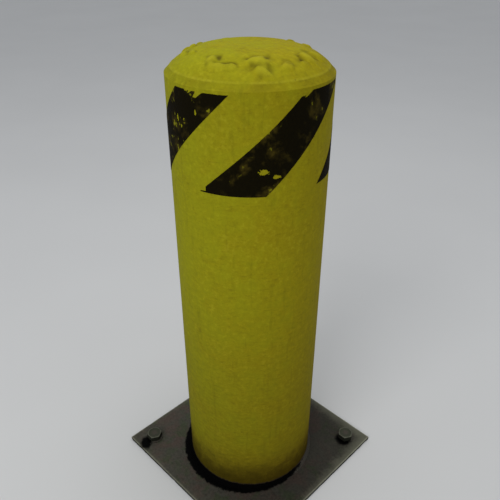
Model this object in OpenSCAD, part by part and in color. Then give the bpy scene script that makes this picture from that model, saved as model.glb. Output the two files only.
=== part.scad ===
// Steel safety bollard, bolted down: a welded tube on a square base plate, closed by a domed cap,
// filled with concrete, marked with hazard stripes and bolted to four sockets set in the ground.
// Millimetres. The origin is the centre of the base plate's underside and +Z is up, so what is
// below zero is in the ground.

/* [Base plate] */
// Side of the square plate
plate_side = 400; // [360:5:600]
// Thickness of the plate
plate_t = 8; // [6:1:25]
// Distance from the plate's edges to the centres of the anchor holes
hole_inset = 40; // [25:1:60]

/* [Post] */
// Outside diameter of the tube
post_od = 273; // [220:1:330]
// Wall of the tube
post_wall = 10; // [5:0.5:12]
// Length of the tube, from the plate to the cap
post_len = 856; // [500:1:1400]

/* [Domed cap] */
// Height of the dome over the end of the tube
dome_rise = 39.5; // [25:0.5:70]
// Fullness of the dome: 2 is a parabola, more gives a flatter crown and a steeper rim
dome_power = 4; // [2:0.1:6]
// Thickness of the cap at its crown
cap_t = 6; // [4:0.5:10]
// Width of the cap's seat on the end of the tube and on the ring
seat_w = 3; // [2:0.5:6]
// Width of the shoulder round the cap, which the weld fills
shoulder_w = 8.7; // [4:0.1:9]

/* [Backing ring] */
// Height of the ring inside the end of the tube
ring_h = 30; // [15:1:60]
// Thickness of the ring
ring_t = 6; // [4:0.5:12]

/* [Welds] */
// Leg of the fillet weld at the foot of the tube
foot_leg = 6; // [3:0.5:10]
// How far the middle of the fillet stands over its flat face
foot_crown = 0.6; // [0:0.1:1.5]
// How far the cap's weld stands over the line of the dome
bead_crown = 0.7; // [0.2:0.1:2]

/* [Concrete core] */
// Space left over the concrete, under the end of the tube
fill_drop = 40; // [35:1:150]

/* [Hazard stripes] */
// Height of the striped band
band_h = 155; // [60:1:300]
// Distance from the end of the tube down to the band
band_drop = 5; // [0:1:100]
// Width of a stripe, in degrees round the tube
stripe_w = 42; // [20:1:60]
// Slope of the stripes over the horizontal, in degrees
stripe_slope = 45; // [30:1:70]
// Angle of each stripe's centre at half height of the band, from +X
stripe_at = [-23, 61, 155, 249]; // [-180:1:360]
// Thickness of the film
film_t = 0.4; // [0.2:0.1:1]

/* [Ground anchors] */
// Thread diameter of the anchor bolts
bolt_d = 20; // [16:1:24]
// Length of the bolts under the head
bolt_len = 60; // [35:5:62]
// Width of the bolt heads across their flats
head_af = 30; // [26:1:40]
// Height of the bolt heads
head_h = 12.5; // [8:0.5:18]
// Outside diameter of the washers
washer_od = 37; // [32:1:50]
// Thickness of the washers
washer_t = 3; // [2:0.5:5]
// Outside diameter of the sockets in the ground
socket_od = 28; // [26:1:40]
// Length of the sockets
socket_len = 125; // [116:1:205]
// Depth of the sockets' upper ends under the plate
socket_sink = 3; // [3:0.5:10]
// Depth of the threaded bore
bore_depth = 52; // [48:1:56]
// Number of grooves that key a socket into the resin
grooves = 9; // [4:1:12]
// Width of a groove
groove_w = 4; // [2:0.5:6]
// Depth of a groove
groove_t = 1; // [0.5:0.1:1.2]

/* [Clearances] */
// Round the bolts in the plate, on the diameter
hole_clear = 2; // [1:0.5:4]
// Round the bolts in the washers, on the diameter
bolt_clear = 1; // [0.5:0.1:2]
// Between a bolt and the thread of its socket, on the radius
thread_clear = 0.05; // [0.02:0.01:0.1]
// Between the tube and what fits inside it
bore_clear = 0.3; // [0.1:0.1:1]
// Between the welds or the film and the steel that they cover
skin_clear = 0.05; // [0.02:0.01:0.1]

/* [Hidden] */
$fn = 128;
anchors = 4;
curve_steps = 24;          // straight pieces in a curved outline
bead_steps = 8;            // straight pieces across a weld bead
column_deg = 2.25;         // widest step round a stripe
tip_cut = 0.5;             // degrees by which a stripe's sharp corners are blunted
chamfer_deg = 30;          // slope of the chamfer on the bolt heads
overcut = 1;               // how far a cut runs past a face

bolt_pitch = plate_side - 2 * hole_inset;       // between neighbouring anchors, along X and Y
post_r = post_od / 2;
bore_r = post_r - post_wall;
post_top = plate_t + post_len;
cap_r = post_r - shoulder_w;
hollow_r = cap_r - seat_w;                      // where the cap's hollow meets its seat
inside_r = bore_r - bore_clear;                 // for what fits inside the tube
core_h = post_len - fill_drop;
band_z = post_top - band_drop - band_h;
film_r = post_r + skin_clear;
bolt_r = bolt_d / 2;
head_z = plate_t + washer_t;                    // underside of the bolt heads
bolt_tip_z = head_z - bolt_len;
bolt_chamfer = bolt_d / 10;
hex_r = head_af / 2 / cos(30);
socket_r = socket_od / 2;
socket_z = -socket_sink - socket_len;           // lower end of the sockets
tapped_r = bolt_r + thread_clear;               // thread of the sockets
// Turn of a stripe from the bottom of the band to its top, in degrees round the tube
stripe_lead = band_h / tan(stripe_slope) / post_r * 180 / PI;

// ---- Curves ----

// Height of the dome over the end of the tube, at radius r
function dome_z(r) = dome_rise * (1 - pow(r / post_r, dome_power));

// Height of the cap's hollow at radius r
function hollow_z(r) = (dome_rise - cap_t) * (1 - pow(r / hollow_r, dome_power));

// Radius of point k on the way out to the rim: the points crowd there, where a dome bends most
function radius_at(k, rim) = rim * sin(90 * k / curve_steps);

// Lower and upper edge of a stripe inside the band, t degrees on from its lower left corner
function stripe_low(t) = band_h * max(0, (t - stripe_w) / stripe_lead);
function stripe_high(t) = band_h * min(1, t / stripe_lead);

// ---- Post ----

module base_plate() {
    color("dimgray") difference() {
        translate([-plate_side / 2, -plate_side / 2, 0]) cube([plate_side, plate_side, plate_t]);
        at_anchors() translate([0, 0, -overcut])
            cylinder(d = bolt_d + hole_clear, h = plate_t + 2 * overcut);
    }
}

module post_tube() {
    color("olive") translate([0, 0, plate_t]) difference() {
        cylinder(r = post_r, h = post_len);
        translate([0, 0, -overcut]) cylinder(r = bore_r, h = post_len + 2 * overcut);
    }
}

// Fillet weld, slightly full, in the corner of the plate and the tube
module base_weld() {
    inner = post_r + skin_clear;
    color("darkolivegreen") translate([0, 0, plate_t]) rotate_extrude() polygon(concat(
        [[inner, 0]],
        [for (k = [0:bead_steps])
            let (u = k / bead_steps, full = foot_crown * sin(180 * u) / sqrt(2))
            [inner + foot_leg * (1 - u) + full, foot_leg * u + full]]
    ));
}

module backing_ring() {
    color("gray") translate([0, 0, post_top - ring_h]) difference() {
        cylinder(r = inside_r, h = ring_h);
        translate([0, 0, -overcut]) cylinder(r = inside_r - ring_t, h = ring_h + 2 * overcut);
    }
}

module dome_cap() {
    color("olive") translate([0, 0, post_top]) rotate_extrude() polygon(concat(
        [for (k = [0:curve_steps]) let (r = radius_at(k, cap_r)) [r, dome_z(r)]],
        [[cap_r, 0]],
        [for (k = [curve_steps:-1:0]) let (r = radius_at(k, hollow_r)) [r, hollow_z(r)]]
    ));
}

// Corner weld on the end of the tube, dressed to the line of the dome
module cap_weld() {
    inner = cap_r + skin_clear;
    color("darkkhaki") translate([0, 0, post_top]) rotate_extrude() polygon(concat(
        [[inner, 0]],
        [for (k = [0:bead_steps])
            let (r = post_r + (inner - post_r) * k / bead_steps)
            [r, dome_z(r) + bead_crown * sin(180 * k / bead_steps)]]
    ));
}

module concrete_core() {
    color("darkgray") translate([0, 0, plate_t]) cylinder(r = inside_r, h = core_h);
}

// ---- Hazard stripes ----

// Sloping strip of film wrapped on the tube: upright columns of four points, the two inner ones first
module stripe(i) {
    corners = [tip_cut, min(stripe_w, stripe_lead), max(stripe_w, stripe_lead),
               stripe_w + stripe_lead - tip_cut];
    turns = concat([tip_cut], [for (s = [0:2])
        let (span = corners[s + 1] - corners[s], steps = ceil(span / column_deg))
        for (k = [1:1:steps]) corners[s] + span * k / steps]);
    last = len(turns) - 1;
    start = stripe_at[i - 1] - (stripe_w + stripe_lead) / 2;
    points = [for (t = turns) for (r = [film_r, film_r + film_t], z = [stripe_low(t), stripe_high(t)])
        [r * cos(start + t), r * sin(start + t), band_z + z]];
    // inner, outer, upper and lower skins between neighbouring columns, then the two ends
    faces = concat(
        [for (k = [0:last - 1]) let (a = 4 * k, b = a + 4) each [
            [a, b, b + 1, a + 1], [a + 2, a + 3, b + 3, b + 2],
            [a + 1, b + 1, b + 3, a + 3], [a, a + 2, b + 2, b]]],
        [[0, 1, 3, 2], [4 * last, 4 * last + 2, 4 * last + 3, 4 * last + 1]]
    );
    color("black") polyhedron(points, faces);
}

// ---- Ground anchors ----

// One anchor's place is a quarter turn on from the last
module at_anchor(i) {
    rotate([0, 0, 90 * (i - 1)]) translate([bolt_pitch / 2, bolt_pitch / 2, 0]) children();
}

module at_anchors() {
    for (i = [1:anchors]) at_anchor(i) children();
}

// Hex bolt with a chamfered head and a chamfered end
module anchor_bolt() {
    color("darkslategray") {
        translate([0, 0, head_z]) intersection() {
            cylinder(r = hex_r, h = head_h, $fn = 6);
            cylinder(r1 = head_af / 2 + head_h / tan(chamfer_deg), r2 = head_af / 2, h = head_h);
        }
        translate([0, 0, bolt_tip_z + bolt_chamfer]) cylinder(r = bolt_r, h = bolt_len - bolt_chamfer);
        translate([0, 0, bolt_tip_z]) cylinder(r1 = bolt_r - bolt_chamfer, r2 = bolt_r, h = bolt_chamfer);
    }
}

module anchor_washer() {
    color("slategray") translate([0, 0, plate_t]) difference() {
        cylinder(d = washer_od, h = washer_t);
        translate([0, 0, -overcut]) cylinder(d = bolt_d + bolt_clear, h = washer_t + 2 * overcut);
    }
}

// Bar with a blind threaded bore under a countersunk mouth, and grooves along its outside
module anchor_socket() {
    color("silver") translate([0, 0, socket_z]) difference() {
        cylinder(r = socket_r, h = socket_len);
        for (k = [1:grooves]) translate([0, 0, socket_len * k / (grooves + 1)]) groove();
        translate([0, 0, socket_len - bore_depth]) {
            cylinder(r = tapped_r, h = bore_depth + overcut);
            // end of the drilled hole, left by the drill's point
            translate([0, 0, -tapped_r * tan(chamfer_deg)])
                cylinder(r1 = 0, r2 = tapped_r, h = tapped_r * tan(chamfer_deg));
        }
        translate([0, 0, socket_len - bolt_chamfer])
            cylinder(r1 = tapped_r, r2 = tapped_r + bolt_chamfer, h = bolt_chamfer);
    }
}

// Ring that cuts one groove
module groove() {
    difference() {
        cylinder(r = socket_r + overcut, h = groove_w, center = true);
        cylinder(r = socket_r - groove_t, h = groove_w + overcut, center = true);
    }
}

base_plate();
post_tube();
base_weld();
backing_ring();
dome_cap();
cap_weld();
concrete_core();
for (i = [1:len(stripe_at)])
    stripe(i);
for (i = [1:anchors]) {
    at_anchor(i) anchor_bolt();
    at_anchor(i) anchor_washer();
    at_anchor(i) anchor_socket();
}
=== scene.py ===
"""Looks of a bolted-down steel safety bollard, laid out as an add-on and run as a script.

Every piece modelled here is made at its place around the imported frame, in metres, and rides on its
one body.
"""

import bpy
import math
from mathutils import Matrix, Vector, noise


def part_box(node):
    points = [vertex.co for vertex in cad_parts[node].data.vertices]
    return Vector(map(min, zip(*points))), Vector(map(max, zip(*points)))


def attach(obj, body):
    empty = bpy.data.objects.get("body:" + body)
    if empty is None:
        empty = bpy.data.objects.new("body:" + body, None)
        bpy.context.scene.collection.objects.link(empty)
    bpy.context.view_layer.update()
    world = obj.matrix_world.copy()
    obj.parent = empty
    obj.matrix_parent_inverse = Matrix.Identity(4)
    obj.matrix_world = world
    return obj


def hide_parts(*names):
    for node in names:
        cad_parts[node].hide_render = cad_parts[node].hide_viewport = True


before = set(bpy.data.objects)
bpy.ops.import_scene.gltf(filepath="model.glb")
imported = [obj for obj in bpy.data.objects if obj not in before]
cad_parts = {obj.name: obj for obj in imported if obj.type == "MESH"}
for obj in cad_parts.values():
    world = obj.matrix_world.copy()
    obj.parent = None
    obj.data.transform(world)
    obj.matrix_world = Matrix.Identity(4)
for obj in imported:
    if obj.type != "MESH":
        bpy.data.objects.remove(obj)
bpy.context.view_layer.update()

bl_info = {
    "name": "Safety bollard",
    "version": (1, 0, 0),
    "blender": (4, 5, 0),
    "location": "3D Viewport > Sidebar > Bollard",
    "description": "Models and finishes a bolted-down steel safety bollard",
    "category": "Object",
}

BODY = "root"
MM = 0.001
ANCHORS = range(1, 5)
STRIPES = range(1, 5)
VIEW_TURN = math.radians(45)      # the bollard is seen over a corner of its plate


# ---- Sizes that come from the frame ----

def reach(node, centre=(0.0, 0.0)):
    """Smallest and largest distance of a CAD node's corners from an upright axis."""
    away = [math.hypot(v.co.x - centre[0], v.co.y - centre[1])
            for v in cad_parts[node].data.vertices]
    return min(away), max(away)


def middle(node):
    """Centre of a CAD node's box."""
    low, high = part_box(node)
    return (low + high) / 2


def from_view(x, y, z=0.0):
    """A point given as seen: x to the right, y away, z up."""
    turn, side = math.cos(VIEW_TURN), math.sin(VIEW_TURN)
    return Vector((x * turn - y * side, x * side + y * turn, z))


BORE_R, POST_R = reach("post_tube")
POST_LOW, POST_HIGH = (corner.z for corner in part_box("post_tube"))
PLATE_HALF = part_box("base_plate")[1].x
CAP_R = reach("dome_cap")[1]
FOOT_R, FOOT_REACH = reach("base_weld")
DOME_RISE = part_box("dome_cap")[1].z - POST_HIGH
SHADOW_MIDDLE = (-0.0105, -0.0085)          # middle of the painted shadow round the post's foot, as seen
SHADOW_RADIUS = 0.1425                    # and its radius
# painted shadow by each bolt, as seen: to the right, away, half width, and length over width
BOLT_SHADOWS = {1: (-0.006, -0.007, 0.019, 1.0), 2: (-0.006, -0.010, 0.018, 1.0),
              3: (-0.018, -0.016, 0.015, 1.4), 4: (-0.010, -0.012, 0.017, 1.0)}


class BollardSizes(bpy.types.PropertyGroup):
    """Sizes of the details that the frame leaves open."""

    dome_power: bpy.props.FloatProperty(
        name="Dome fullness", description="Power of the dome's curve", default=4.0)
    cap_thickness: bpy.props.FloatProperty(
        name="Cap thickness", description="Thickness of the cap at its crown",
        default=6 * MM, unit="LENGTH", precision=4)
    seat_width: bpy.props.FloatProperty(
        name="Cap seat", description="Width of the cap's seat on the tube",
        default=3 * MM, unit="LENGTH", precision=4)
    blister_height: bpy.props.FloatProperty(
        name="Blister height", description="Height of the tallest blister on the cap",
        default=5.0 * MM, unit="LENGTH", precision=4)
    wall_wave: bpy.props.FloatProperty(
        name="Wall waves", description="Height of the slow waves in the painted wall",
        default=0.35 * MM, unit="LENGTH", precision=5)
    bead_pitch: bpy.props.FloatProperty(
        name="Weld ripple", description="Distance between the ripples of the foot weld",
        default=4 * MM, unit="LENGTH", precision=4)
    plate_bevel: bpy.props.FloatProperty(
        name="Plate bevel", description="Width of the worn bevel round the plate",
        default=0.9 * MM, unit="LENGTH", precision=4)
    thread_pitch: bpy.props.FloatProperty(
        name="Thread pitch", description="Pitch of the anchor bolts' thread",
        default=2.5 * MM, unit="LENGTH", precision=4)
    film_rough: bpy.props.FloatProperty(
        name="Film edge", description="How far the stripes' edges wander",
        default=0.35 * MM, unit="LENGTH", precision=4)


def tint(label, default):
    """A colour property."""
    return bpy.props.FloatVectorProperty(
        name=label, description=f"Colour of the {label.lower()}", subtype="COLOR",
        size=3, min=0.0, max=1.0, default=default)


class BollardColours(bpy.types.PropertyGroup):
    """Colours of the finishes."""

    paint_green: tint("Greener paint", (0.325, 0.314, 0.0075))
    paint_ochre: tint("Ochre paint", (0.335, 0.275, 0.0055))
    paint_deep: tint("Soaked-in dirt", (0.085, 0.066, 0.0040))
    chalk_and_highlight: tint("Chalked paint", (0.480, 0.440, 0.0300))
    rust_stain_and_shade: tint("Rust stains", (0.115, 0.054, 0.0070))
    film: tint("Black stripes", (0.0055, 0.0041, 0.0008))
    film_worn: tint("Rubbed stripes", (0.090, 0.065, 0.0080))
    plate: tint("Plate steel", (0.066, 0.062, 0.049))
    plate_rust: tint("Plate rust", (0.078, 0.058, 0.047))
    plate_moss: tint("Green dirt", (0.052, 0.063, 0.035))
    dust_and_highlight: tint("Dust on the plate", (0.125, 0.124, 0.090))
    shadow_black: tint("Painted shadow", (0.0012, 0.0011, 0.0010))
    bolt: tint("Bolt steel", (0.041, 0.043, 0.028))
    zinc: tint("Zinc plating", (0.420, 0.430, 0.440))
    concrete: tint("Concrete", (0.330, 0.320, 0.300))
    floor: tint("Floor", (0.640, 0.640, 0.630))


def sizes():
    """The sizes in use."""
    return bpy.context.scene.bollard_sizes


def colours():
    """The colours in use."""
    return bpy.context.scene.bollard_colours


# ---- Modelling ----

def start_clean():
    """Deselects everything, because an operator acts on all that is selected."""
    bpy.ops.object.select_all(action="DESELECT")
    bpy.context.view_layer.objects.active = None


def edit():
    """Goes into edit mode with the whole mesh selected."""
    bpy.ops.object.mode_set(mode="EDIT")
    bpy.ops.mesh.select_all(action="SELECT")


def done():
    """Leaves edit mode."""
    bpy.ops.object.mode_set(mode="OBJECT")
    return bpy.context.object


def use(kind, **settings):
    """Adds a modifier to the active piece and applies it."""
    modifier = bpy.context.object.modifiers.new(kind.title(), kind)
    for key, value in settings.items():
        setattr(modifier, key, value)
    bpy.ops.object.modifier_apply(modifier=modifier.name)


def turned(outline, steps, centre=(0.0, 0.0)):
    """Draws an outline of (radius, height) points beside an upright axis and spins it all round."""
    start_clean()
    points = [Vector((centre[0] + r, centre[1], z)) for r, z in outline]
    bpy.ops.mesh.primitive_plane_add(size=MM, location=(0, 0, 0))
    edit()
    bpy.ops.mesh.merge(type="CENTER")
    bpy.ops.transform.translate(value=points[0])
    for here, there in zip(points, points[1:]):
        bpy.ops.mesh.extrude_vertices_move(TRANSFORM_OT_translate={"value": there - here})
    bpy.ops.mesh.select_all(action="SELECT")
    bpy.ops.mesh.spin(steps=steps, angle=math.tau, center=(*centre, 0), axis=(0, 0, 1))
    bpy.ops.mesh.select_all(action="SELECT")
    bpy.ops.mesh.remove_doubles(threshold=0.01 * MM)
    bpy.ops.mesh.normals_make_consistent(inside=False)
    return done()


def cut(piece, tool, operation):
    """Cuts a piece with a tool piece, which is then removed."""
    start_clean()
    piece.select_set(True)
    bpy.context.view_layer.objects.active = piece
    use("BOOLEAN", operation=operation, object=tool, solver="EXACT")
    bpy.data.objects.remove(tool)
    return piece


def merge_close():
    """Merges the active piece's corners that a cut has left on top of each other."""
    edit()
    bpy.ops.mesh.remove_doubles(threshold=0.01 * MM)
    bpy.ops.mesh.dissolve_degenerate(threshold=0.01 * MM)
    return done()


def joined(pieces):
    """Joins pieces into the first one."""
    start_clean()
    for piece in pieces:
        piece.select_set(True)
    bpy.context.view_layer.objects.active = pieces[0]
    bpy.ops.object.join()
    return bpy.context.object


def reshape(piece, move):
    """Moves every corner of a piece to where move puts it."""
    for vertex in piece.data.vertices:
        vertex.co = move(vertex.co)


def mark(piece, name, measure):
    """Leaves what measure gives for each corner of a piece as its attribute, for the finish to read."""
    marks = piece.data.attributes.new(name, "FLOAT", "POINT")
    for vertex, value in zip(piece.data.vertices, marks.data):
        value.value = max(0.0, measure(vertex.co))


def finish_piece(piece, name, nodes, material, smooth_deg=35):
    """Names a piece, gives it its finish and puts it on the frame in place of its CAD nodes."""
    start_clean()
    piece.select_set(True)
    bpy.context.view_layer.objects.active = piece
    bpy.ops.object.transform_apply(location=True, rotation=True, scale=True)
    bpy.ops.object.shade_smooth_by_angle(angle=math.radians(smooth_deg))
    piece.name = piece.data.name = name
    piece.data.materials.clear()
    piece.data.materials.append(material)
    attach(piece, BODY)
    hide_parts(*nodes)
    return piece


def stepped(start, end, count):
    """Evenly spaced values from start to end."""
    return [start + (end - start) * k / count for k in range(count + 1)]


# ---- Shading ----

class Value:
    """A socket in Python arithmetic: every sum, product or power adds its Math node."""

    def __init__(self, shader, link):
        self.shader, self.link = shader, link

    def math(self, operation, *terms):
        return self.shader.node("ShaderNodeMath", {"operation": operation}, dict(enumerate(terms)))

    def __add__(self, other):
        return self.math("ADD", self, other)

    def __sub__(self, other):
        return self.math("SUBTRACT", self, other)

    def __rsub__(self, other):
        return self.math("SUBTRACT", other, self)

    def __mul__(self, other):
        return self.math("MULTIPLY", self, other)

    def __pow__(self, other):
        return self.math("POWER", self, other)

    def __abs__(self):
        return self.math("ABSOLUTE", self)

    def most(self, other):
        return self.math("MAXIMUM", self, other)

    __radd__ = __add__
    __rmul__ = __mul__


class Shader:
    """Builds one procedural material from expressions on Value."""

    def __init__(self, name):
        self.material = bpy.data.materials.new(name)
        self.material.use_nodes = True
        self.tree = self.material.node_tree
        self.tree.nodes.clear()
        self.place = self.node("ShaderNodeTexCoord", output="Object")
        self.x, self.y, self.z = (
            self.node("ShaderNodeSeparateXYZ", {}, {0: self.place}, axis) for axis in "XYZ")

    def node(self, kind, settings=None, inputs=None, output=0):
        """Adds a node: its settings first, then the values or links of its sockets."""
        node = self.tree.nodes.new(kind)
        for key, value in (settings or {}).items():
            setattr(node, key, value)
        for key, value in (inputs or {}).items():
            if isinstance(value, Value):
                self.tree.links.new(value.link, node.inputs[key])
            else:
                node.inputs[key].default_value = value
        return Value(self, node.outputs[output]) if node.outputs else None

    def grain(self, size, detail=4.0, rough=0.55, stretch=(1, 1, 1), shift=0.0, warp=0.0):
        """Noise from 0 to 1 on the piece's own coordinates, with features of a size in metres."""
        where = self.node("ShaderNodeMapping", {}, {
            "Vector": self.place, "Location": (shift, shift * 0.7, shift * 1.3), "Scale": stretch})
        raw = self.node("ShaderNodeTexNoise", {}, {
            "Vector": where, "Scale": 1 / size, "Detail": detail, "Roughness": rough,
            "Distortion": warp})
        return self.node("ShaderNodeMapRange", {}, {"Value": raw, "From Min": 0.30, "From Max": 0.70})

    def spots(self, pitch, share, small, large, ragged):
        """Scattered round spots: one in each cell of a pitch, in a share of the cells."""
        drift = self.node("ShaderNodeTexNoise", {}, {
            "Vector": self.place, "Scale": 1 / ragged}, "Color")
        wobble = self.node("ShaderNodeVectorMath", {"operation": "SCALE"}, {0: drift, "Scale": ragged})
        where = self.node("ShaderNodeVectorMath", {"operation": "ADD"}, {0: self.place, 1: wobble})
        cell = {"Vector": where, "Scale": 1 / pitch}
        away = self.node("ShaderNodeTexVoronoi", {}, cell, "Distance") * pitch
        pick = self.node("ShaderNodeSeparateColor", {}, {
            0: self.node("ShaderNodeTexVoronoi", {}, cell, "Color")})
        grown = self.ease(pick, 1 - share, 1.0) * (large - small) + small
        there = self.node("ShaderNodeMath", {"operation": "GREATER_THAN"}, {0: pick, 1: 1 - share})
        return (1 - self.ease(away, grown * 0.45, grown)) * there

    def ease(self, value, low, high):
        """Smooth step from 0 at low to 1 at high."""
        return self.node("ShaderNodeMapRange", {"interpolation_type": "SMOOTHSTEP"}, {
            "Value": value, "From Min": low, "From Max": high})

    def mix(self, mask, first, second):
        """Colours mixed by a mask: first where it is 0."""
        rgb = [c if isinstance(c, Value) else (*c, 1.0) for c in (first, second)]
        return self.node("ShaderNodeMix", {"data_type": "RGBA"}, {0: mask, 6: rgb[0], 7: rgb[1]}, 2)

    def shaded(self, colour, factor):
        """A colour times a factor."""
        return self.node("ShaderNodeVectorMath", {"operation": "SCALE"}, {
            0: colour if isinstance(colour, Value) else tuple(colour), "Scale": factor})

    def away(self, x, y):
        """Level distance from an upright axis at x, y."""
        return ((self.x - x) ** 2.0 + (self.y - y) ** 2.0) ** 0.5

    def along(self, axis):
        """Distance along a level axis."""
        return self.x * axis.x + self.y * axis.y

    def worked(self, name):
        """An attribute that the modelling left on the piece."""
        return self.node("ShaderNodeAttribute", {"attribute_name": name}, {}, "Fac")

    def finish(self, colour, roughness, relief, relief_height, metallic=0.0, specular=0.5):
        """Ends the material with a principled surface over a bump of relief_height metres."""
        normal = self.node("ShaderNodeBump", {}, {
            "Height": relief, "Distance": relief_height, "Strength": 1.0})
        surface = self.node("ShaderNodeBsdfPrincipled", {}, {
            "Base Color": colour, "Roughness": roughness, "Metallic": metallic,
            "Specular IOR Level": specular, "Normal": normal})
        self.node("ShaderNodeOutputMaterial", {}, {"Surface": surface})
        return self.material


def painted_shadow_mask(s):
    """Mask of the black painted shadow round the post's foot and beside the bolts, mostly on one side
    of them.
    """
    painted_shadow = from_view(*SHADOW_MIDDLE)
    ragged = (s.grain(0.012, 5, 0.7, shift=8) - 0.5) * 0.006
    black = 1 - s.ease(s.away(painted_shadow.x, painted_shadow.y) + ragged, SHADOW_RADIUS - 0.0025, SHADOW_RADIUS + 0.0020)
    for i, (right, back, size, drawn_out) in BOLT_SHADOWS.items():
        spot = middle(f"anchor_bolt_{i}") + from_view(right, back)
        across, deep = (s.along(axis) - spot.dot(axis) for axis in (from_view(1, 0), from_view(0, 1)))
        away = (across ** 2.0 + (deep * (1 / drawn_out)) ** 2.0) ** 0.5
        black = black.most(1 - s.ease(away + ragged, size - 0.0060, size + 0.0025))
    return black


def yellow_paint():
    """Safety yellow brushed on by hand: blotches, brush marks, streaks, specks and a dirty foot, with
    painted light: a lighter crown, a darker ochre side, painted shade towards the foot, a black painted
    shadow on one side of it and painted highlights on the cap.
    """
    s, c = Shader("brushed_yellow"), colours()
    cloud = s.grain(0.110, 4, 0.6, warp=0.4)
    patch = s.grain(0.028, 4, 0.6, shift=3, warp=0.6)
    mottle = s.grain(0.0085, 4, 0.7, shift=5)
    fleck = s.grain(0.0032, 2, 0.6, shift=7)
    sweep = s.grain(0.013, 4, 0.65, stretch=(1, 1, 3.2), shift=11)
    streak = s.grain(0.010, 3, 0.6, stretch=(1, 1, 0.09), shift=13)
    ripple = s.grain(0.015, 3, 0.6, stretch=(1, 1, 2.4), shift=17, warp=0.4)
    # painted shade: the post turns from greener on the lit left, as seen, to a darker ochre on the
    # right, broken up by blotches
    side = s.along(from_view(1, 0)) * (0.42 / POST_R) + 0.5
    colour = s.mix(s.ease(side + (cloud - 0.5) * 0.50 + (patch - 0.5) * 0.30, 0.05, 0.95),
                   tuple(c.paint_green), tuple(c.paint_ochre))
    colour = s.mix(s.ease(sweep + (patch - 0.5) * 0.5, 0.55, 1.15) * 0.22, colour, tuple(c.paint_deep))
    colour = s.mix(s.ease(streak, 0.66, 1.0) * 0.14, colour, tuple(c.paint_deep))
    colour = s.mix(s.ease(mottle + (cloud - 0.5) * 0.4, 0.62, 1.0) * 0.16, colour,
                   tuple(c.chalk_and_highlight))
    # painted highlight: a light chalky line along the cap's lip
    lip = (1 - s.ease(abs(s.away(0, 0) - (CAP_R - 0.0012)), 0.0004, 0.0026)) * s.ease(
        s.z, POST_HIGH + 0.004, POST_HIGH + 0.006)
    colour = s.mix(lip * (0.05 + patch * 0.35), colour, tuple(c.chalk_and_highlight))
    specks = s.spots(0.046, 0.45, 0.0014, 0.0034, 0.004)
    colour = s.mix(specks * 0.38, colour, tuple(c.paint_deep))
    colour = s.mix(s.spots(0.085, 0.35, 0.003, 0.008, 0.006) * 0.25, colour, tuple(c.rust_stain_and_shade))
    # the foot is stained browner, with painted shade darkening the post towards it, and both thin out
    # upwards; painted light makes the crown lighter, and painted shadow turns the foot black on one
    # side
    rise = s.z + (patch - 0.5) * 0.030
    low = 1 - s.ease(rise, 0.05, 0.62)
    foot = 1 - s.ease(rise, 0.012, 0.150)
    colour = s.mix(low * 0.24 + foot * 0.45, colour, tuple(c.rust_stain_and_shade))
    foot_shade = 1 - s.ease(rise, 0.022, 0.108)
    crown = s.ease(s.z, POST_HIGH + 0.005, POST_HIGH + 0.036)
    # painted light makes the crown lighter; painted shade darkens the post down to its foot
    tone = (0.84 + crown * 0.13 - low * 0.15 - foot_shade * 0.36) * (
        0.86 + mottle * 0.20 + fleck * 0.08 + (ripple - 0.5) * (low * 0.17 + 0.05))
    colour = s.shaded(colour, tone)
    # a dark rust band along the lowest centimetre all round, stain and painted shade, turned black on
    # one side by painted shadow, as seen
    edge = 1 - s.ease(s.z + (mottle - 0.5) * 0.004, POST_LOW + 0.0080, POST_LOW + 0.0135)
    painted_shadow = s.ease(0 - s.along(from_view(0.82, 0.57)), -0.065, -0.02)
    colour = s.mix(edge * 0.85, colour, tuple(c.plate_rust))
    colour = s.mix(edge * painted_shadow, colour, tuple(c.shadow_black))
    # painted highlight on the cap's blisters; painted shade in the cap's hollows and along its weld
    colour = s.mix(s.worked("painted_highlight") * 0.26, colour, tuple(c.chalk_and_highlight))
    colour = s.mix(s.worked("painted_shade") * 0.88, colour, tuple(c.paint_deep))
    rough = 0.76 + (mottle - 0.5) * 0.16 + low * 0.08 + edge * 0.1
    relief = sweep * 0.30 + mottle * 0.35 + patch * 0.25 + fleck * 0.10
    return s.finish(colour, rough, relief, 0.30 * MM, specular=0.05)


def stripe_film(i, wear):
    """Black film, worn brown, and scuffed through to the yellow under it."""
    s, c = Shader(f"scuffed_black_{i}"), colours()
    cloud = s.grain(0.036, 3, 0.55, shift=4 * i, warp=0.5)
    patch = s.grain(0.011, 3, 0.6, shift=9 * i)
    fine = s.grain(0.0035, 3, 0.65, shift=2 * i)
    run = s.grain(0.0075, 2, 0.5, stretch=(1, 1, 0.65), shift=7 * i)
    worn = s.ease(cloud * 0.85 + patch * 0.30, 0.60 - wear * 0.10, 1.20)
    colour = s.mix(worn * 0.58, tuple(c.film), tuple(c.film_worn))
    scuff = s.ease(run * 0.75 + cloud * 0.45, 1.06 - wear * 0.18, 1.22 - wear * 0.17)
    colour = s.mix(scuff * (0.20 + wear * 0.35), colour, tuple(c.paint_green))
    colour = s.shaded(colour, 0.75 + fine * 0.50)
    return s.finish(colour, 0.72 + (fine - 0.5) * 0.2, fine * 0.5 + patch * 0.5, 0.25 * MM,
                    specular=0.03)


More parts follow.
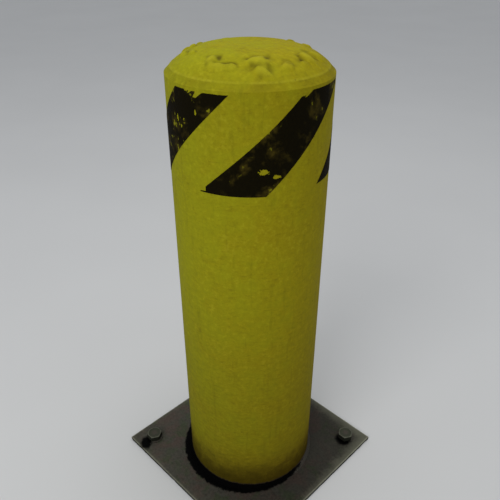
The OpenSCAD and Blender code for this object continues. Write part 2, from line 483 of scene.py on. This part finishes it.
def plate_steel():
    """Weathered steel plate: mottled rust and green soil, dusty edges, painted shade darker towards one
    side, painted highlights along the top edges, a painted shadow round post and bolts and painted
    shade along the foot of its sides.
    """
    s, c = Shader("stained_plate"), colours()
    cloud = s.grain(0.045, 4, 0.6, warp=0.5)
    moss = s.grain(0.038, 4, 0.6, shift=6, warp=0.5)
    fine = s.grain(0.0055, 5, 0.7, shift=2)
    pit = s.grain(0.0022, 3, 0.6, shift=5)
    colour = s.mix(s.ease(cloud, 0.35, 0.85) * 0.85, tuple(c.plate), tuple(c.plate_rust))
    colour = s.mix(s.ease(moss, 0.50, 0.90) * 0.75, colour, tuple(c.plate_moss))
    across = s.along(from_view(1, 0))
    # painted shade: the plate is darker towards the right, as seen
    colour = s.shaded(colour, (0.70 + fine * 0.60) * (1.14 - s.ease(across, -0.16, 0.10) * 0.50))
    # dust lies along the edges, thicker towards one corner
    edge = abs(s.x).most(abs(s.y))
    deep = s.ease(across, 0.05, 0.27)
    inner = PLATE_HALF - 0.010 - deep * 0.030
    border = s.ease(edge + (fine - 0.5) * 0.008 + (cloud - 0.5) * 0.016, inner, PLATE_HALF + 0.004)
    colour = s.mix(border * (0.38 + deep * 0.72), colour, tuple(c.dust_and_highlight))
    # painted highlight along the plate's top edges, stronger towards one corner
    edge_highlight = s.ease(edge + (cloud - 0.5) * 0.0012, PLATE_HALF - 0.0034, PLATE_HALF - 0.0014)
    colour = s.mix(edge_highlight * s.ease(s.z, 0.0060, 0.0076) * (0.30 + fine * 0.40 + deep * 0.30), colour,
                   tuple(v * 2.0 for v in c.dust_and_highlight))
    # painted shadow, black, round the post's foot and beside each bolt
    colour = s.mix(painted_shadow_mask(s), colour, tuple(c.shadow_black))
    # painted shade along the foot of the plate's sides
    side_shade = (1 - s.ease(s.z, 0.0052, 0.0070)) * s.ease(edge, PLATE_HALF - 0.001, PLATE_HALF - 0.0004)
    colour = s.mix(side_shade * 0.72, colour, tuple(c.shadow_black))
    rough = 0.66 + (fine - 0.5) * 0.30
    return s.finish(colour, rough, fine * 0.5 + pit * 0.2 + cloud * 0.3, 0.55 * MM,
                    metallic=0.45, specular=0.05)


def rough_steel(name, colour, dirty, metallic=0.6, roughness=0.5, relief=0.3 * MM, painted_shadow=False):
    """Bare or plated steel with a mottled, handled surface."""
    s, c = Shader(name), colours()
    cloud = s.grain(0.007, 5, 0.6)
    fine = s.grain(0.0013, 3, 0.6, shift=3)
    tone = s.mix(s.ease(cloud, 0.45, 0.95) * dirty, tuple(colour), tuple(c.plate_rust))
    tone = s.shaded(tone, 0.72 + fine * 0.56)
    # painted shadow, black, where the piece lies round the post's foot or beside a bolt
    if painted_shadow:
        tone = s.mix(painted_shadow_mask(s), tone, tuple(c.shadow_black))
    return s.finish(tone, roughness + (cloud - 0.5) * 0.25, cloud * 0.6 + fine * 0.4, relief,
                    metallic=metallic, specular=0.02 if painted_shadow else 0.2)


def bolt_steel():
    """Dull hex heads with a painted highlight round the edge of the top, painted shade on their sides,
    and a hollow of rusty muck in the middle.
    """
    s, c = Shader("bolt_surface"), colours()
    at = middle("anchor_bolt_1")
    cloud = s.grain(0.007, 4, 0.6)
    fine = s.grain(0.0013, 3, 0.6, shift=3)
    away = ((abs(s.x) - abs(at.x)) ** 2.0 + (abs(s.y) - abs(at.y)) ** 2.0) ** 0.5
    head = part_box("anchor_bolt_1")[1].z
    top = s.ease(s.z, head - 0.0016, head - 0.0004)
    edge_highlight = s.ease(away + (cloud - 0.5) * 0.0016, 0.0126, 0.0146) * top
    tone = s.mix(s.ease(cloud, 0.45, 0.95) * 0.4, tuple(c.bolt), tuple(c.plate_moss))
    tone = s.mix((1 - s.ease(away, 0.002, 0.010)) * top * 0.5, tone, tuple(c.plate_rust))
    # painted shade: the heads' sides are darker than their tops
    tone = s.shaded(tone, (0.70 + fine * 0.60) * (0.42 + top * 0.58))
    # painted highlight round the edge of the top
    tone = s.mix(edge_highlight * 0.35, tone, tuple(v * 1.5 for v in c.dust_and_highlight))
    return s.finish(tone, 0.58 + (cloud - 0.5) * 0.25, cloud * 0.6 + fine * 0.4, 0.25 * MM,
                    metallic=0.3, specular=0.15)


def cast_concrete():
    """Grey concrete with gravel showing in the mortar."""
    s, c = Shader("cast_concrete"), colours()
    gravel = s.spots(0.014, 0.8, 0.003, 0.007, 0.003)
    sand = s.grain(0.0024, 4, 0.7)
    colour = s.mix(gravel * 0.8, tuple(c.concrete), tuple(v * 0.62 for v in c.concrete))
    colour = s.shaded(colour, 0.7 + sand * 0.6)
    return s.finish(colour, 0.85 + (sand - 0.5) * 0.2, sand * 0.6 + gravel * 0.4, 1.2 * MM)


def floor_paint():
    """Plain pale floor."""
    s, c = Shader("studio_floor"), colours()
    haze = s.grain(0.7, 2)
    return s.finish(s.shaded(tuple(c.floor), 0.985 + haze * 0.03), 0.9 + (haze - 0.5) * 0.05,
                    haze, 0.1 * MM, specular=0.1)


# ---- Shapes that pieces share ----

def dome_height(r):
    """Height of the cap over the end of the tube."""
    return DOME_RISE * (1 - (r / POST_R) ** sizes().dome_power)


def wall_shape(co):
    """Slow waves of a hand-dressed, thickly painted wall, which move its outside along the radius."""
    r = math.hypot(co.x, co.y)
    if r < (POST_R + BORE_R) / 2:
        return co
    wave = noise.noise(co * 9) * 0.6 + noise.noise(co * 34 + Vector((5, 0, 0))) * 0.4
    scale = 1 - sizes().wall_wave * (0.5 + 0.5 * wave) / r
    return Vector((co.x * scale, co.y * scale, co.z))


# Blisters (and dents, with a minus) on the cap's shoulder: turn round the axis in degrees, then
# radius, half length and half width in mm, lie in degrees and share of the full height
BLISTERS = [
    (-81, 96, 13, 7.5, 20, 0.9), (-71, 106, 12, 7.0, 100, 0.8), (-60, 104, 9, 6.5, 60, 0.6),
    (-38, 91, 17, 11.0, 95, 1.0), (-36, 112, 12, 7.5, 70, 0.9), (-46, 104, 6, 4.0, 90, -0.4),
    (-15, 106, 13, 6.5, 105, 0.7), (4, 107, 8, 6.0, 30, 0.5),
    (13, 101, 13, 8.0, 15, 1.0), (30, 106, 12, 6.0, 10, 0.9),
    (62, 98, 8, 5.0, 60, 0.6),
    (74, 106, 11, 6.5, 100, 0.6), (88, 94, 8, 5.5, 40, 0.5), (112, 104, 12, 6.5, 80, 0.5),
    (124, 94, 7, 5.0, 20, -0.6), (137, 108, 10, 6.0, 65, 0.5), (160, 98, 12, 7.0, 95, 0.5),
    (173, 109, 8, 5.0, 50, 0.6), (192, 101, 10, 6.5, 120, 0.6), (205, 111, 10, 6.0, 85, 0.7),
    (214, 93, 7, 5.0, 30, 0.8), (233, 104, 11, 6.5, 70, 0.7), (243, 92, 7, 5.0, 105, 0.6),
]
# Grooves between them, darkened with painted shade: turn, radius, half length, half width, lie and
# depth
SHADE_STROKES = [
    (-77, 85, 8, 3.8, 20, 0.9), (-61, 96, 8, 3.0, 80, 0.7), (-83, 104, 6, 3.2, 40, 0.3),
    (-29, 86, 7, 3.4, -35, 0.8), (-44, 101, 5, 3.0, 70, 0.6), (-30, 110, 5, 3.6, 25, 0.65),
    (-48, 83, 5, 3.2, 50, 0.45), (-39, 119, 5, 3.2, 110, 0.45), (-12, 102, 9, 2.8, 75, 0.4),
    (5, 100, 8, 3.2, -20, 0.7), (22, 107, 7, 3.0, 25, 0.55),
]


FAR = 5          # a mark on the cap is not felt beyond this many of its own half widths


def lying(co, turn, radius, length, width, lie):
    """Place of a point in the frame of a mark on the cap: shares of its length and width."""
    at, along = math.radians(turn), math.radians(turn + lie)
    dx = co.x / MM - radius * math.cos(at)
    dy = co.y / MM - radius * math.sin(at)
    return ((dx * math.cos(along) + dy * math.sin(along)) / length,
            (dy * math.cos(along) - dx * math.sin(along)) / width)


def blister(co):
    """Lift of the cap's skin at a point, as a share of the full height, and the painted shade round it.
    """
    lift = painted_shade = 0.0
    radius_here = max(math.hypot(co.x, co.y), MM)
    for turn, radius, length, width, lie, share in BLISTERS:
        u, v = lying(co, turn, radius, length, width, lie)
        if abs(u) + abs(v) > FAR:
            continue
        d = math.hypot(u, v) * (1 + 0.45 * noise.noise(co * 75 + Vector((turn, 0, 0))))
        moat = math.exp(-((d - 1.30) / 0.45) ** 2)
        lift += share * math.exp(-d ** 3.2) - 0.12 * moat
        # painted shade in the moat on the side of a blister that looks up the dome, and in each dent
        uphill = (radius * MM - radius_here) / (max(length, width) * MM)
        if share > 0:
            painted_shade += moat * min(max(0.0, 0.05 + 0.5 * uphill), 0.45)
        else:
            painted_shade += 0.4 * math.exp(-d * d)
    for turn, radius, length, width, lie, depth in SHADE_STROKES:
        u, v = lying(co, turn, radius, length, width, lie)
        if abs(u) + abs(v) > FAR:
            continue
        u += 0.7 * noise.noise(co * 50 + Vector((turn, 0, 0)))
        v += 1.2 * noise.noise(co * 50 + Vector((0, turn, 0)))
        stroke_shade = math.exp(-u * u - v * v)
        lift -= 0.30 * depth * stroke_shade
        painted_shade += depth * stroke_shade
    return lift, min(painted_shade, 1.0)


def cap_shape(co):
    """The cap's blisters and slow waves, on its outside only."""
    if co.z < POST_HIGH + dome_height(math.hypot(co.x, co.y)) - 1.5 * MM:
        return co
    wave = noise.noise(co * 16) * 0.7 + noise.noise(co * 55) * 0.3
    rise = sizes().blister_height * blister(co)[0] - sizes().wall_wave * (0.6 + 0.6 * wave)
    return co + Vector((0, 0, min(rise, POST_HIGH + DOME_RISE - co.z)))


def cap_shade(co):
    """Painted shade in the cap's hollows."""
    return blister(co)[1] * (1.0 + 0.35 * noise.noise(co * 130))


def cap_highlight(co):
    """Painted highlight on top of the blisters."""
    return min(1.0, blister(co)[0])


def turn_of(co, base):
    """Turn of a point round the axis, within half a circle of base."""
    return (math.atan2(co.y, co.x) - base + math.pi) % math.tau - math.pi


# ---- Operators ----

class BOLLARD_OT_plate(bpy.types.Operator):
    """Models the square base plate with its bored holes and worn edges"""

    bl_idname = "bollard.plate"
    bl_label = "Base plate"

    def execute(self, context):
        low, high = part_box("base_plate")
        start_clean()
        bpy.ops.mesh.primitive_grid_add(
            x_subdivisions=80, y_subdivisions=80, size=2 * PLATE_HALF, location=(0, 0, high.z))
        use("SOLIDIFY", thickness=high.z - low.z, offset=-1)
        use("BEVEL", width=sizes().plate_bevel, segments=3, limit_method="ANGLE",
            angle_limit=math.radians(40))
        plate = bpy.context.object
        slack = 0.5 * MM
        hole = reach("anchor_washer_1", middle("anchor_washer_1"))[0] + slack
        drills = []
        for i in ANCHORS:
            start_clean()
            at = middle(f"anchor_bolt_{i}")
            bpy.ops.mesh.primitive_cylinder_add(
                vertices=64, radius=hole, depth=4 * high.z, location=(at.x, at.y, 0))
            drills.append(bpy.context.object)
        cut(plate, joined(drills), "DIFFERENCE")
        merge_close()
        reshape(plate, self.worn)
        finish_piece(plate, "base_plate_steel", ["base_plate"], plate_steel())
        return {"FINISHED"}

    @staticmethod
    def worn(co):
        """Nicks along the plate's edges, which never stand out of it."""
        border, deepest = 4 * MM, 1.6 * MM
        edge = max(abs(co.x), abs(co.y))
        near = max(0.0, 1 - (PLATE_HALF - edge) / border)
        nick = max(0.0, noise.noise(co * 60) - 0.15) * near
        pull = 1 - nick * deepest / max(edge, MM)
        return Vector((co.x * pull, co.y * pull, co.z))


class BOLLARD_OT_post(bpy.types.Operator):
    """Models the post tube with the slow waves of its painted wall"""

    bl_idname = "bollard.post"
    bl_label = "Post tube"

    def execute(self, context):
        outside = [(POST_R, z) for z in stepped(POST_LOW, POST_HIGH, 150)]
        post = turned(outside + [(BORE_R, POST_HIGH), (BORE_R, POST_LOW), outside[0]], steps=256)
        reshape(post, wall_shape)
        finish_piece(post, "post_tube_painted", ["post_tube"],
                     bpy.data.materials["brushed_yellow"])
        return {"FINISHED"}


class BOLLARD_OT_cap(bpy.types.Operator):
    """Models the domed cap, knocked about on its shoulder, and the dressed weld round it"""

    bl_idname = "bollard.cap"
    bl_label = "Domed cap and its weld"

    def execute(self, context):
        paint = bpy.data.materials["brushed_yellow"]
        hollow_r = CAP_R - sizes().seat_width
        depth = DOME_RISE - sizes().cap_thickness
        crown_r = CAP_R / 2
        steps = stepped(0, crown_r, 16) + stepped(crown_r, CAP_R, 60)[1:]
        lip, lip_height = 2.2 * MM, 0.3 * MM
        outside = [(r, POST_HIGH + dome_height(r)
                    + lip_height * math.exp(-((CAP_R - lip - r) / lip) ** 2)) for r in steps]
        inside = [(r, POST_HIGH + depth * (1 - (r / hollow_r) ** sizes().dome_power))
                  for r in stepped(hollow_r, 0, 24)]
        cap = turned(outside + [(CAP_R, POST_HIGH)] + inside, steps=448)
        # painted shade in the hollows and painted highlight on the blisters, left for the finish
        mark(cap, "painted_shade", cap_shade)
        mark(cap, "painted_highlight", cap_highlight)
        reshape(cap, cap_shape)
        finish_piece(cap, "dome_cap_painted", ["dome_cap"], paint)

        inner, hollow, parts = CAP_R + 0.05 * MM, 0.5 * MM, 12
        bead = [(r, POST_HIGH + dome_height(r) - hollow * math.sin(math.pi * k / parts))
                for k, r in enumerate(stepped(POST_R, inner, parts))]
        seam = turned([(inner, POST_HIGH), *bead, (inner, POST_HIGH)], steps=320)
        # painted shade darkening the weld band under the cap
        mark(seam, "painted_shade", lambda co: 0.16 + 0.22 * noise.noise(co * 45))
        reshape(seam, self.dressed)
        finish_piece(seam, "cap_weld_painted", ["cap_weld"], paint)
        return {"FINISHED"}

    @staticmethod
    def dressed(co):
        """Grinding marks round the weld."""
        if co.z < POST_HIGH + 0.1 * MM:
            return wall_shape(co)
        return co - Vector((0, 0, sizes().wall_wave * (0.6 + noise.noise(co * 70) * 0.6)))


class BOLLARD_OT_foot_weld(bpy.types.Operator):
    """Models the rippled fillet weld at the foot of the post"""

    bl_idname = "bollard.foot_weld"
    bl_label = "Foot weld"

    def execute(self, context):
        leg = FOOT_REACH - FOOT_R
        full = 0.42 * MM
        face = [(FOOT_R + leg * (1 - u) + full * math.sin(math.pi * u),
                 POST_LOW + leg * u + full * math.sin(math.pi * u)) for u in stepped(0, 1, 8)]
        weld = turned([(FOOT_R, POST_LOW), *face, (FOOT_R, POST_LOW)], steps=640)
        reshape(weld, self.rippled)
        # the foot weld carries the black painted shadow
        finish_piece(weld, "base_weld_bead", ["base_weld"],
                     rough_steel("weld_bead", colours().plate, 0.6, metallic=0.5, roughness=0.6,
                                 relief=0.6 * MM, painted_shadow=True), smooth_deg=60)
        return {"FINISHED"}

    @staticmethod
    def rippled(co):
        """Scalloped ripples, which bow in the direction of welding."""
        r = math.hypot(co.x, co.y)
        if r < FOOT_R + 0.2 * MM or co.z < POST_LOW + 0.2 * MM:
            return co
        bow, ripple, rough = 40, 0.30 * MM, 0.2 * MM         # bow in radians per metre
        phase = math.atan2(co.y, co.x) * r / sizes().bead_pitch * math.tau + (co.z - POST_LOW) * bow
        sink = ripple * (0.5 + 0.5 * math.sin(phase)) + rough * abs(noise.noise(co * 120))
        inward = 1 - sink / r
        return Vector((co.x * inward, co.y * inward, co.z - sink))


class BOLLARD_OT_inside(bpy.types.Operator):
    """Finishes the pieces inside the post, whose shape the frame holds"""

    bl_idname = "bollard.inside"
    bl_label = "Core and backing ring"

    def execute(self, context):
        for name, material in (
                ("concrete_core", cast_concrete()),
                ("backing_ring", rough_steel("mill_scale", colours().plate_rust, 0.6))):
            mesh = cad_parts[name].data
            mesh.materials.clear()
            mesh.materials.append(material)
        return {"FINISHED"}


class BOLLARD_OT_stripes(bpy.types.Operator):
    """Models the four hazard stripes as film with torn corners, chips and wandering edges"""

    bl_idname = "bollard.stripes"
    bl_label = "Hazard stripes"

    # For each stripe: its wear; how far its left edge leans at the foot and at the top, in degrees;
    # how much of its lower tip is torn off, in degrees; notches in its upper edge (share across,
    # half width as a share, depth in mm) and chips (shares across and up, half width and height in mm)
    CUTS = {
        1: (0.50, -3.8, 2.4, 4.6, [(0.0, 0.13, 6.0), (0.115, 0.035, 4.5)],
            [(0.576, 0.262, 8.0, 4.6), (0.862, 0.203, 6.6, 3.4)]),
        2: (0.35, -1.5, 1.0, 1.5, [(0.70, 0.05, 4.0), (0.86, 0.03, 6.0)],
            [(0.30, 0.60, 4.5, 6.0), (0.42, 0.52, 2.5, 3.0)]),
        3: (0.45, -2.0, 1.5, 2.5, [(0.30, 0.04, 6.0), (0.38, 0.03, 3.0)],
            [(0.62, 0.35, 6.0, 4.0), (0.20, 0.72, 2.5, 5.0)]),
        4: (1.00, -0.5, 0.5, 1.0, [(0.525, 0.050, 9.0), (0.36, 0.022, 4.0), (0.28, 0.035, 2.0)],
            [(0.50, 0.743, 2.2, 5.6), (0.76, 0.800, 1.8, 4.2), (0.66, 0.700, 1.5, 2.6),
             (0.70, 0.630, 1.6, 3.4)]),
    }
    TAIL = 2.0 * MM            # height of the thin tail that the torn tip leaves
    FILM = 0.35 * MM           # thickness

    def execute(self, context):
        for i in STRIPES:
            self.stripe(i, *self.CUTS[i])
        return {"FINISHED"}

    def stripe(self, i, wear, foot_lean, top_lean, torn, notches, chips):
        node = f"stripe_{i}"
        low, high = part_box(node)
        outer, tall = reach(node)[1], high.z - low.z
        corners = [v.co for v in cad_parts[node].data.vertices]
        base = math.atan2(sum(c.y for c in corners), sum(c.x for c in corners))
        foot, head = ([base + turn_of(c, base) for c in corners if abs(c.z - z) < 0.2 * MM]
                      for z in (low.z, high.z))
        left, right, lead = min(foot), max(foot), min(head) - min(foot)
        rough = sizes().film_rough
        waver = Vector((0, i * 7.1, 0))

        def place(u, v):
            """Turn and height of a point of the film."""
            notch = sum(depth * MM * math.exp(-((u - at) / half) ** 4) for at, half, depth in notches)
            top = 1 - (notch * (1 + 0.4 * noise.noise(waver + Vector((u * 45, 0, 3))))
                       + rough * (0.5 + noise.noise(waver + Vector((u * 30, 0, 0))))) / tall
            up = v * top
            lean = math.radians(foot_lean + (top_lean - foot_lean) * up)
            start = left + lean + up * lead
            if up * tall > self.TAIL:
                start = max(start, left + math.radians(foot_lean + torn))
            end = right + up * lead
            side = rough / outer * noise.noise(waver + Vector((0, 0, v * 40 + (u > 0.5) * 9)))
            return start + u * (end - start) + side, low.z + up * tall

        start_clean()
        bpy.ops.mesh.primitive_grid_add(x_subdivisions=130, y_subdivisions=190, size=1)
        film = bpy.context.object
        self.chip(film, place, chips, outer)

        def wrap(co):
            turn, z = place(co.x + 0.5, co.y + 0.5)
            wall = wall_shape(Vector((POST_R * math.cos(turn), POST_R * math.sin(turn), z)))
            lift = outer / POST_R
            return Vector((wall.x * lift, wall.y * lift, wall.z))

        reshape(film, wrap)
        edit()
        bpy.ops.mesh.normals_make_consistent(inside=False)
        done()
        first = film.data.polygons[0]
        if first.normal.dot(Vector((first.center.x, first.center.y, 0))) < 0:
            film.data.flip_normals()
        use("SOLIDIFY", thickness=self.FILM, offset=-1)
        finish_piece(film, f"stripe_{i}_film", [node], stripe_film(i, wear))

    @staticmethod
    def chip(film, place, chips, outer):
        """Takes out the faces inside the chips, with ragged outlines."""
        edit()
        bpy.ops.mesh.select_mode(type="FACE")
        bpy.ops.mesh.select_all(action="DESELECT")
        done()
        spots = [(*place(across, up), wide * MM, high * MM) for across, up, wide, high in chips]
        for face in film.data.polygons:
            turn, z = place(face.center.x + 0.5, face.center.y + 0.5)
            ragged = 1 + 0.55 * noise.noise(Vector((turn * outer, z, 0)) * 330)
            face.select = any(
                math.hypot((turn - at) * outer / wide, (z - level) / high) < ragged
                for at, level, wide, high in spots)
        bpy.ops.object.mode_set(mode="EDIT")
        bpy.ops.mesh.delete(type="FACE")
        bpy.ops.mesh.select_mode(type="VERT")
        done()


class BOLLARD_OT_anchors(bpy.types.Operator):
    """Models the hex bolts with their washers and the threaded sockets in the ground"""

    bl_idname = "bollard.anchors"
    bl_label = "Anchor bolts, washers and sockets"

    SHANK_R = 10 * MM
    THREAD_SLACK = 0.05 * MM
    DRILL_POINT = 0.577        # height of the drilled point over its radius

    def execute(self, context):
        bolt_finish = bolt_steel()
        # the washers carry the black painted shadow beside the bolts
        washer_finish = rough_steel("washer_surface", colours().plate, 0.6, metallic=0.4,
                                    roughness=0.6, painted_shadow=True)
        zinc = rough_steel("zinc_plating", colours().zinc, 0.12, metallic=0.9, roughness=0.4)
        for i, piece in self.corners(self.bolt()):
            finish_piece(piece, f"anchor_bolt_{i}_hex", [f"anchor_bolt_{i}"],
                         bolt_finish, smooth_deg=30)
        for i, piece in self.corners(self.washer()):
            finish_piece(piece, f"anchor_washer_{i}_flat", [f"anchor_washer_{i}"],
                         washer_finish, smooth_deg=30)
        for i, piece in self.corners(self.socket()):
            finish_piece(piece, f"anchor_socket_{i}_grooved", [f"anchor_socket_{i}"],
                         zinc, smooth_deg=30)
        return {"FINISHED"}

    @staticmethod
    def corners(piece):
        """The first anchor's piece and its copies, each with its own mesh, a quarter turn apart."""
        start_clean()
        piece.select_set(True)
        bpy.context.view_layer.objects.active = piece
        bpy.ops.object.transform_apply(location=True, rotation=True, scale=True)
        pieces = {1: piece}
        for i in ANCHORS[1:]:
            bpy.ops.object.duplicate(linked=False)
            pieces[i] = bpy.context.object
            pieces[i].rotation_euler.z = math.radians(90) * (i - 1)
        return pieces.items()

    def bolt(self):
        """Hex head cut to a chamfer on both sides, over a shank with its thread as rings."""
        at, (low, high) = middle("anchor_bolt_1"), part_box("anchor_bolt_1")
        head_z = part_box("anchor_washer_1")[1].z
        flats = min(high.x - low.x, high.y - low.y) / 2
        corner = flats / math.cos(math.radians(30))
        tall = high.z - head_z
        start_clean()
        # the head's corners point along X or Y, as the frame's do
        turn = 0.0 if high.x - low.x > high.y - low.y else math.radians(90)
        bpy.ops.mesh.primitive_cylinder_add(
            vertices=6, radius=corner, depth=tall, location=(at.x, at.y, head_z + tall / 2),
            rotation=(0, 0, turn + math.radians(30)))
        head = bpy.context.object
        slope = math.tan(math.radians(30))
        chamfer = (corner - flats) * slope
        dish = 0.25 * MM
        blank = turned([(0, head_z), (flats * 0.96, head_z), (corner, head_z + chamfer * 0.6),
                        (corner + MM, high.z - chamfer - MM * slope), (flats * 0.97, high.z),
                        (flats * 0.80, high.z), (flats * 0.78, high.z - dish), (0, high.z - dish)],
                       steps=72, centre=at.xy)
        cut(head, blank, "INTERSECT")
        merge_close()
        pitch, plain = sizes().thread_pitch, 6 * MM
        root_r = self.SHANK_R - 0.6 * pitch
        outline = [(0, head_z + MM), (self.SHANK_R, head_z + MM), (self.SHANK_R, head_z - plain)]
        z = head_z - plain
        while z - pitch > low.z + MM:
            outline += [(root_r, z - pitch * 0.5), (self.SHANK_R, z - pitch * 0.9),
                        (self.SHANK_R, z - pitch)]
            z -= pitch
        outline += [(root_r, low.z), (0, low.z)]
        return joined([head, turned(outline, steps=48, centre=at.xy)])

    def washer(self):
        """Stamped washer with one rounded and one sharp edge."""
        at, (low, high) = middle("anchor_washer_1"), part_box("anchor_washer_1")
        inner, outer = reach("anchor_washer_1", at)
        soft, sharp = 0.6 * MM, 0.2 * MM
        outline = [(inner, low.z), (outer - sharp, low.z), (outer, low.z + sharp),
                   (outer, high.z - soft), (outer - soft * 0.3, high.z - soft * 0.3),
                   (outer - soft, high.z), (inner + soft, high.z), (inner, high.z - soft),
                   (inner, low.z)]
        return turned(outline, steps=96, centre=at.xy)

    def socket(self):
        """Grooved bar with a blind bore, its thread as rings, and a countersunk mouth."""
        at, (low, high) = middle("anchor_socket_1"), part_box("anchor_socket_1")
        outer = reach("anchor_socket_1", at)[1]
        bore, depth, mouth = self.SHANK_R + self.THREAD_SLACK, 52 * MM, 2 * MM
        pitch, grooves = sizes().thread_pitch, 9
        wide, narrow = 2 * MM, 1.6 * MM       # half widths of a groove at its mouth and its floor
        outline = [(0, low.z), (outer - MM, low.z), (outer, low.z + MM)]
        for k in range(1, grooves + 1):
            z = low.z + (high.z - low.z) * k / (grooves + 1)
            outline += [(outer, z - wide), (outer - MM, z - narrow),
                        (outer - MM, z + narrow), (outer, z + wide)]
        outline += [(outer, high.z), (bore + mouth, high.z), (bore, high.z - mouth)]
        z = high.z - mouth
        while z - pitch > high.z - depth:
            outline += [(bore + 0.5 * pitch, z - pitch * 0.5), (bore, z - pitch)]
            z -= pitch
        outline += [(bore, high.z - depth), (0, high.z - depth - bore * self.DRILL_POINT)]
        return turned(outline, steps=64, centre=at.xy)


class BOLLARD_OT_stage(bpy.types.Operator):
    """Sets up the floor, the soft light and the camera"""

    bl_idname = "bollard.stage"
    bl_label = "Stage"

    FLOOR_R = 30.0
    # for each light: its place as seen, the length of its side in metres and its power in watts
    LIGHTS = {"key_light": ((-1.5, -2.5, 3.0), 2.0, 56), "top_light": ((0.4, 0.5, 3.4), 1.6, 20)}
    AIM = Vector((0, 0, 0.45))
    SKY, SKY_STRENGTH = (0.92, 0.95, 1.0, 1.0), 0.52
    CAMERA, LOOKS_DOWN = (0.0, -0.907, 1.0749), 31.083     # place as seen, and degrees
    LENS, SENSOR = 40.09, 36                               # mm

    def execute(self, context):
        start_clean()
        bpy.ops.mesh.primitive_circle_add(vertices=96, radius=self.FLOOR_R, fill_type="NGON")
        floor = bpy.context.object
        floor.name = "studio_floor"
        floor.data.materials.append(floor_paint())
        for name, (place, side, power) in self.LIGHTS.items():
            lamp = bpy.data.lights.new(name, "AREA")
            lamp.energy, lamp.size = power, side
            holder = self.put(context, lamp, from_view(*place))
            holder.rotation_euler = (self.AIM - holder.location).to_track_quat("-Z", "Y").to_euler()
        world = bpy.data.worlds.new("studio_world")
        world.use_nodes = True
        background = world.node_tree.nodes["Background"]
        background.inputs["Color"].default_value = self.SKY
        background.inputs["Strength"].default_value = self.SKY_STRENGTH
        context.scene.world = world
        context.scene.view_settings.view_transform = "Standard"
        lens = bpy.data.cameras.new("camera")
        lens.lens, lens.sensor_width = self.LENS, self.SENSOR
        holder = self.put(context, lens, from_view(*self.CAMERA))
        holder.rotation_euler = (math.radians(90 - self.LOOKS_DOWN), 0, VIEW_TURN)
        context.scene.camera = holder
        return {"FINISHED"}

    @staticmethod
    def put(context, data, place):
        """Places a light or a camera in the scene."""
        holder = bpy.data.objects.new(data.name, data)
        holder.location = place
        context.scene.collection.objects.link(holder)
        return holder


class BOLLARD_PT_panel(bpy.types.Panel):
    """Lists the steps of the bollard in the order in which they are made"""

    bl_idname = "BOLLARD_PT_panel"
    bl_label = "Safety bollard"
    bl_space_type = "VIEW_3D"
    bl_region_type = "UI"
    bl_category = "Bollard"

    def draw(self, context):
        for step in STEPS:
            self.layout.operator(step.bl_idname)
        for group in (context.scene.bollard_sizes, context.scene.bollard_colours):
            box = self.layout.box()
            for name in group.__annotations__:
                box.prop(group, name)


STEPS = (BOLLARD_OT_plate, BOLLARD_OT_post, BOLLARD_OT_cap, BOLLARD_OT_foot_weld, BOLLARD_OT_inside,
         BOLLARD_OT_stripes, BOLLARD_OT_anchors, BOLLARD_OT_stage)
CLASSES = (BollardSizes, BollardColours, *STEPS, BOLLARD_PT_panel)


def register():
    for cls in CLASSES:
        bpy.utils.register_class(cls)
    bpy.types.Scene.bollard_sizes = bpy.props.PointerProperty(type=BollardSizes)
    bpy.types.Scene.bollard_colours = bpy.props.PointerProperty(type=BollardColours)


def unregister():
    del bpy.types.Scene.bollard_colours
    del bpy.types.Scene.bollard_sizes
    for cls in reversed(CLASSES):
        bpy.utils.unregister_class(cls)


def main():
    register()
    yellow_paint()
    for step in STEPS:
        area, name = step.bl_idname.split(".")
        getattr(getattr(bpy.ops, area), name)()


if __name__ == "__main__":
    main()
